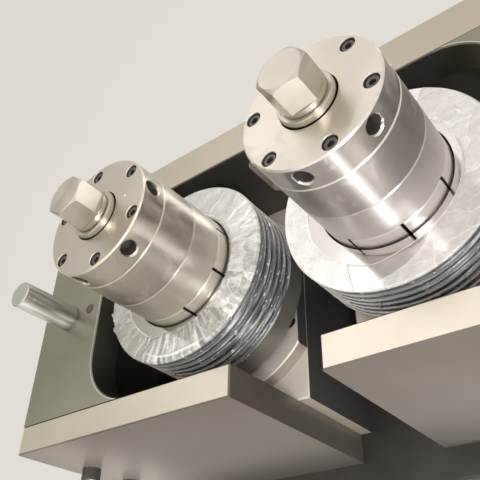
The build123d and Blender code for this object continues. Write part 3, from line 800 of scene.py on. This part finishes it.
def band_folds(angle, below):
    """How far the film stands off the band, and its layers with painted highlights, at a depth below the
    roll's top.
    """
    fade = math.exp(-below / (5 * mm))
    across = ((below - band_edge) / groove_pitch) % 1.0
    on_land = abs(2 * across - 1) ** 9
    # The film was wound round and round, so its streaks run round the roll and sink slowly
    sunk = below + streak_slope * angle * roll_radius
    streak = max(0.0, smooth_noise(angle, streak_size, sunk, streak_stretch) - 0.15)
    # Painted highlights: the lands between the grooves gleam white in long stretches, and small painted glints
    # lie anywhere
    painted_gleam = max(0.0, 0.8 + 1.8 * smooth_noise(angle, painted_gleam_size, below))
    painted_glint = max(0.0, smooth_noise(angle, painted_glint_size, below, stretch=2) - 0.4)
    layers_and_painted_light = 0.05 + 0.25 * fade + 1.5 * streak + 1.1 * on_land * painted_gleam + 5.0 * painted_glint
    return 0.3 * mm * streak, layers_and_painted_light


# %% Film: folds on the face
# Creases between facets, their waver, the long shards, the pleats' ribs, and the fold and tear by the rim
crease_width, crease_height = 0.8 * mm, 0.4 * mm
waver_size, waver_reach = 11 * mm, 4 * mm
shard_draw, shard_size, shard_slant = 0.4, 7 * mm, 0.9
rib_size, flap_size, calm_size = 5 * mm, 8 * mm, 20 * mm
ridge_radius, ridge_wander, ridge_width = 109 * mm, 4 * mm, 1.6 * mm
tear_radius, tear_width = 104 * mm, 10 * mm
pleat_height, ridge_height, tear_height = 1.8 * mm, 1.6 * mm, 4.5 * mm


def facets(side, place):
    """Height of the crumpled film at a place, the tone of its facets, its creases and the large ones."""
    # The folds bend a little as they run: each place is looked up off to one side, by some 2 mm
    bent = place / waver_size
    place = place + Vector((noise.noise(bent), noise.noise(bent + Vector((7, 3, 0))), 0)) * waver_reach
    large, large_tone, large_crease = fold_at(large_folds[side], place, crease_width)
    small, small_tone, small_crease = fold_at(small_folds[side], place, 0.7 * crease_width)
    tone = large_tone + 0.5 * small_tone - 0.75
    crease = max(large_crease, 0.4 * small_crease)
    return large + small + crease_height * crease, tone, crease, large_crease


def left_face(degrees, angle, run, place):
    """Lift and layers, with a painted highlight along the fold by the rim, on the left roll's face, at a
    distance from the spindle's axis.
    """
    # This film is drawn tight over the rim, which draws its facets out into long shards
    place = place * (1 - shard_draw * (1 - roll_radius / run))
    place.z = 1.0
    lift, tone, crease, _ = facets("left", place)
    crumple = along(crumpling, degrees)
    slanted = smooth_noise(angle + shard_slant * run, shard_size, run * 0.2)
    shard = max(0.0, 1 - 8 * abs(slanted))
    pleat = along(pleated, degrees) * max(0.0, smooth_noise(angle, rib_size, run * 0.12))
    ridge = ridge_radius + ridge_wander * smooth_noise(angle, 30 * mm)
    rim_fold_and_highlight = along(rim_fold_and_highlight_arc, degrees) * math.exp(-((run - ridge) / ridge_width) ** 2)
    flap = max(0.0, 0.25 + 1.6 * smooth_noise(angle, flap_size, run))
    tear = along(torn, degrees) * max(0.0, (run - tear_radius) / tear_width) * flap
    layers_and_painted_light = along(milkiness, degrees) + 0.1 * smooth_noise(angle, calm_size, run)
    layers_and_painted_light += crumple * (0.4 * tone + 0.3 * crease + 0.25 * shard)
    # The fold stands up by the rim, and the layers it adds are a painted highlight along it
    layers_and_painted_light += 1.3 * pleat + 0.8 * rim_fold_and_highlight + 0.3 * tear
    return lift * crumple + pleat_height * pleat + ridge_height * rim_fold_and_highlight + tear_height * tear, layers_and_painted_light


def right_face(degrees, run, place):
    """Lift and layers on the right roll's face: clear by the hem, milky in front, thick at the back with
    painted shade along its large creases.
    """
    lift, tone, crease, large_crease = facets("right", place)
    if run / mm < along(clear_edge, degrees):
        return lift * 0.4, 0.1 + 0.08 * tone + 0.4 * crease
    # Where the film is thick, its large creases are painted thinner, as painted shade along them
    if degrees < thin_arc[0] or degrees > thin_arc[1]:
        return lift * 0.1, 0.97 + 0.06 * tone - 0.25 * large_crease
    return lift * 0.35, 0.62 + 0.2 * tone + 0.35 * crease


# %% Film: the sheets
hem_rows, hem_layers = 2, 0.85
rim_pleat_size, rim_pleat_height, rim_lift = 9 * mm, 0.15 * mm, 0.5 * mm


def film_points(side):
    """Points of the sheet of film round a roll, and at each how many layers lie, with painted light added."""
    points, opacity = [], []
    for i in range(around):
        angle = 2 * math.pi * i / around - math.pi
        degrees = math.degrees(angle)
        way = Vector((math.cos(angle), math.sin(angle), 0))
        jag = noise.noise(Vector((way.x * rag_waves, way.y * rag_waves, rag_seed[side]))) * ragged[side]
        rim_pleat = rim_pleat_height * max(0.0, smooth_noise(angle, rim_pleat_size))
        for row, (radius, z) in enumerate(film_profile(along(film_hem[side], degrees) * mm + jag)):
            run = min(radius, roll_radius)
            place = Vector((run * math.cos(angle), run * math.sin(angle), 1.0))
            if row > face_rows + bend_rows:
                lift, layers_and_painted_light = band_folds(angle, roll_top - z)
            elif side == "left":
                lift, layers_and_painted_light = left_face(degrees, angle, run, place)
            else:
                lift, layers_and_painted_light = right_face(degrees, run, place)
            if row > face_rows:
                # Round the rim the film is tight, and what stands up on the face fades out
                lift = min(lift, rim_lift)
            lift += rim_pleat * math.exp(-((row - face_rows - 2) / 5.0) ** 2)
            if row < hem_rows:
                layers_and_painted_light = max(layers_and_painted_light, hem_layers)
            tilt = min(1.0, max(0.0, (row - face_rows) / bend_rows)) * math.pi / 2
            lift *= min(1.0, row / 3.0)
            radius = min(radius + lift * math.sin(tilt), film_reach)
            points.append((axis[side].x + radius * math.cos(angle), radius * math.sin(angle),
                           z + lift * math.cos(tilt)))
            opacity.append(layers_and_painted_light)
    return points, opacity


def film(side):
    """One sheet of film round a roll, with its layers and painted light in the mesh."""
    points, opacity = film_points(side)
    rows = face_rows + bend_rows + band_rows + 1
    faces = []
    for i in range(around):
        following = (i + 1) % around
        for row in range(rows - 1):
            a, b = i * rows + row, following * rows + row
            faces.append((a, a + 1, b + 1, b))
    made = mesh_object(f"{side}_stretch_film", points, faces, film_look)
    made.data.attributes.new("layers_and_painted_light", "FLOAT", "POINT").data.foreach_set("value", opacity)
    made.data.shade_smooth()
    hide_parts(f"{side}_roll_film")
    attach(made, f"{side}_roll_unit")
    print(made.name, "faces", len(faces))
    return made


for side in sides:
    film(side)

# %% [markdown]
# ## Socket-head screws
# The nuts, covers and end walls are held by black socket-head cap screws in counterbores. A screw is a
# stack of rings: round outside, six-sided inside where the key goes. The six-sided ring has as many points
# as the round one, so that the rings join without any stray faces.

# %% Rings that make a turned or six-sided shape
ring_points = 48
sharp_angle = math.radians(30)


def round_ring(radius, height):
    return [(radius * math.cos(a), radius * math.sin(a), height)
            for a in [2 * math.pi * i / ring_points for i in range(ring_points)]]


def six_sided_ring(flats, height):
    ring = []
    for i in range(ring_points):
        a = 2 * math.pi * i / ring_points
        off = (a % (math.pi / 3)) - math.pi / 6
        radius = flats / 2 / math.cos(off)
        ring.append((radius * math.cos(a), radius * math.sin(a), height))
    return ring


def stack(rings):
    """Points and faces of a closed shape through these rings."""
    points = [p for ring in rings for p in ring]
    faces = [tuple(reversed(range(ring_points)))]
    for level in range(len(rings) - 1):
        for i in range(ring_points):
            a = level * ring_points + i
            b = level * ring_points + (i + 1) % ring_points
            faces.append((a, b, b + ring_points, a + ring_points))
    last = (len(rings) - 1) * ring_points
    faces.append(tuple(range(last, last + ring_points)))
    return points, faces


def joined(shapes):
    """Points and faces of several (shape, place) pairs in one list each."""
    points, faces = [], []
    for shape, place in shapes:
        start = len(points)
        points += [place @ Vector(p) for p in shape[0]]
        faces += [tuple(start + i for i in face) for face in shape[1]]
    return points, faces


def on_circle(side, angle, radius, height):
    """A place on a circle round a spindle, as a matrix."""
    spot = axis[side] + Vector((math.cos(angle), math.sin(angle), 0)) * radius
    return Matrix.Translation((spot.x, spot.y, height))


def fixings(name, shape, places, look, body):
    """Copies of one shape at several places, joined in one mesh that rides on a body."""
    points, faces = joined([(shape, place) for place in places])
    made = mesh_object(name, points, faces, look)
    made.data.shade_smooth()
    made.data.set_sharp_from_angle(angle=sharp_angle)
    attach(made, body)
    print(name, "copies", len(places), "faces", len(faces))
    return made


# %% Cap screws, M8
def cap_screw(head_radius, head_height, key_flats):
    """Head of a socket-head cap screw, with its foot at height 0."""
    edge = 0.09 * head_radius
    key_depth = 0.5 * head_height
    return stack([
        round_ring(head_radius, 0),
        round_ring(head_radius, head_height - edge),
        round_ring(head_radius - edge, head_height),
        six_sided_ring(key_flats + edge, head_height),
        six_sided_ring(key_flats, head_height - edge / 2),
        six_sided_ring(key_flats, head_height - key_depth),
        round_ring(0.08 * head_radius, head_height - 1.2 * key_depth),
    ])


m8_screw = cap_screw(6.5 * mm, 8 * mm, 6 * mm)
nut_screw_circle = 59.5 * mm
nut_screw_turn = {"left": -20, "right": -14}
counterbore_depth = 10 * mm
cover_screw_circle = 98 * mm
cover_screw_angles = (31, 149, -31, -149)
for side in sides:
    # No two keys stand alike: each screw is turned a little further than the one before
    places = []
    for i in range(6):
        angle = math.radians(nut_screw_turn[side] + 60 * i)
        place = on_circle(side, angle, nut_screw_circle, hub_face - counterbore_depth)
        places.append(place @ Matrix.Rotation(angle + 0.4 * i, 4, "Z"))
    fixings(f"{side}_nut_screws", m8_screw, places, black_oxide, f"{side}_roll_unit")
    places = []
    for i, turn in enumerate(cover_screw_angles):
        place = on_circle(side, math.radians(turn), cover_screw_circle, cover_top - counterbore_depth)
        places.append(place @ Matrix.Rotation(0.5 + 0.9 * i, 4, "Z"))
    fixings(f"{side}_cover_screws", m8_screw, places, black_oxide, f"{side}_chock_unit")

# %% [markdown]
# ## Tommy-bar holes
# The lock nut is turned with a bar stuck into one of six holes in its side. On the real nut they measure
# about 17 mm across, with a flared mouth, and the solid's holes are narrower. A Boolean modifier bores them
# out in a copy of the nut. One mesh holds all the cutters: six turned plugs, a cone that breaks the edge of
# each counterbore, and on the left nut a centre punch. Its small mark shows how far the nut was turned.

# %% Cutters for the lock nuts
hole_radius, hole_depth, hole_flare, hole_drop = 8.5 * mm, 17.2 * mm, 1.7 * mm, 13.0 * mm
hole_turn = {"left": 10, "right": 16}
punch_circle, punch_angle = 43 * mm, math.radians(9)
# Each cutter is a stack of rings, given by radius and by height over the metal's surface
hole_plug = stack([round_ring(hole_radius, -hole_depth), round_ring(hole_radius, -hole_flare),
                   round_ring(hole_radius + hole_flare, 0),
                   round_ring(hole_radius + 2 * hole_flare, hole_flare)])
bore_edge = stack([round_ring(7.3 * mm, -0.8 * mm), round_ring(8.4 * mm, 0.3 * mm),
                   round_ring(8.4 * mm, 1 * mm)])
punch = stack([round_ring(0.4 * mm, -1.2 * mm), round_ring(1.9 * mm, 0.1 * mm),
               round_ring(1.9 * mm, 1 * mm)])


def nut_cuts(side):
    """The cutters of a lock nut, each with its place."""
    cuts = []
    for i in range(6):
        turn = math.radians(hole_turn[side] + 60 * i)
        inwards = Vector((math.cos(turn), math.sin(turn), 0)).to_track_quat("Z", "Y").to_matrix().to_4x4()
        cuts.append((hole_plug, on_circle(side, turn, hub_radius, hub_face - hole_drop) @ inwards))
        turn = math.radians(nut_screw_turn[side] + 60 * i)
        cuts.append((bore_edge, on_circle(side, turn, nut_screw_circle, hub_face)))
    if side == "left":
        cuts.append((punch, on_circle(side, punch_angle, punch_circle, hub_face)))
    return cuts


# %% Lock nuts with their full holes
def bored_nut(side):
    """A copy of the lock nut with its holes bored out to their full width."""
    work = bmesh.new()
    work.from_mesh(nodes[f"{side}_lock_nut"].data)
    bmesh.ops.remove_doubles(work, verts=work.verts, dist=1e-6)
    print(side, "nut blank open edges", sum(1 for e in work.edges if not e.is_manifold))
    points = [v.co.copy() for v in work.verts]
    faces = [[v.index for v in f.verts] for f in work.faces]
    work.free()
    rough = mesh_object("rough_nut", points, faces)
    cutter = mesh_object("cutter", *joined(nut_cuts(side)))
    bore = rough.modifiers.new("bore", "BOOLEAN")
    bore.operation = "DIFFERENCE"
    bore.solver = "EXACT"
    bore.object = cutter
    depsgraph = bpy.context.evaluated_depsgraph_get()
    mesh = bpy.data.meshes.new_from_object(rough.evaluated_get(depsgraph))
    for piece in (cutter, rough):
        bpy.data.objects.remove(piece)
    mesh.name = f"{side}_bored_nut"
    mesh.shade_smooth()
    mesh.set_sharp_from_angle(angle=sharp_angle)
    # On the round outside the normals point straight out, so the long thin faces round a hole don't show
    normals = []
    for face in mesh.polygons:
        for corner in face.vertices:
            out = (mesh.vertices[corner].co - axis[side]) * Vector((1, 1, 0))
            on_skin = abs(out.length - hub_radius) < 0.03 * mm and abs(face.normal.z) < 0.1
            normals.append(out.normalized() if on_skin else (0, 0, 0))
    mesh.normals_split_custom_set(normals)
    mesh.materials.clear()
    mesh.materials.append(turned)
    made = bpy.data.objects.new(f"{side}_bored_nut", mesh)
    bpy.context.scene.collection.objects.link(made)
    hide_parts(f"{side}_lock_nut")
    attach(made, f"{side}_roll_unit")
    print(made.name, "faces", len(mesh.polygons))


for side in sides:
    bored_nut(side)

# %% [markdown]
# ## Fasteners of the stand
# The cheeks and the rear beam are screwed to the end walls with M16 cap screws, three at each corner, and
# each bronze nut is held by six M6 ones. The feet are held down by anchor bolts, each with a washer and a
# zinc-plated nut.

# %% Wall screws, M16, and flange screws, M6
m16_screw = cap_screw(12 * mm, 16 * mm, 14 * mm)
m6_screw = cap_screw(5 * mm, 6 * mm, 5 * mm)
wall_low, wall_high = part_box("right_end_wall")
wall_middle = (wall_low.x + wall_high.x) / 2
screw_heights = (700 * mm, 770 * mm, 840 * mm)
front_face, rear_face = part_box("right_front_cheek")[0].y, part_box("rear_beam")[1].y
for name, face, tip in (("front", front_face, 90), ("rear", rear_face, -90)):
    lying = Matrix.Rotation(math.radians(tip), 4, "X")
    places = [Matrix.Translation((sign * wall_middle, face, z)) @ lying @ Matrix.Rotation(7 * z, 4, "Z")
              for sign in (-1, 1) for z in screw_heights]
    fixings(f"{name}_wall_screws", m16_screw, places, black_oxide, "stand")

flange_low, flange_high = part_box("right_screw_nut")
nut_axis = (flange_low.z + flange_high.z) / 2
flange_circle = 37 * mm
for side, sign in (("left", -1), ("right", 1)):
    lying = Matrix.Rotation(math.radians(90 * sign), 4, "Y")
    places = []
    for i in range(6):
        turn = math.pi / 3 * i
        y, z = flange_circle * math.cos(turn), nut_axis + flange_circle * math.sin(turn)
        places.append(Matrix.Translation((sign * flange_high.x, y, z)) @ lying)
    fixings(f"{side}_flange_screws", m6_screw, places, black_oxide, "stand")

# %% Anchor bolts
washer_radius, washer_height = 18.5 * mm, 3 * mm
nut_flats, nut_height, bolt_radius = 30 * mm, 16 * mm, 10 * mm
nut_top = washer_height + nut_height
bolt_top = nut_top + 14 * mm
anchor = stack([
    round_ring(washer_radius, 0),
    round_ring(washer_radius, washer_height),
    six_sided_ring(nut_flats, washer_height + 0.01 * mm),
    six_sided_ring(nut_flats, nut_top - 2 * mm),
    round_ring(nut_flats / 2, nut_top),
    round_ring(bolt_radius, nut_top + 0.01 * mm),
    round_ring(bolt_radius, bolt_top - 1.5 * mm),
    round_ring(bolt_radius - 1.5 * mm, bolt_top),
])
foot_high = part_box("right_foot")[1]
anchor_inset, foot_thickness = 34 * mm, 25 * mm
anchor_x, anchor_y = foot_high.x - anchor_inset, foot_high.y - anchor_inset
places = [Matrix.Translation((sx * anchor_x, sy * anchor_y, foot_thickness))
          @ Matrix.Rotation(0.7 * sx + 0.4 * sy, 4, "Z") for sx in (-1, 1) for sy in (-1, 1)]
fixings("anchor_bolts", anchor, places, zinc, "stand")

# %% [markdown]
# ## Sizes
# The finished model's box is measured, without the floor and the hidden pieces.

# %% Sizes and finish
low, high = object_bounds()
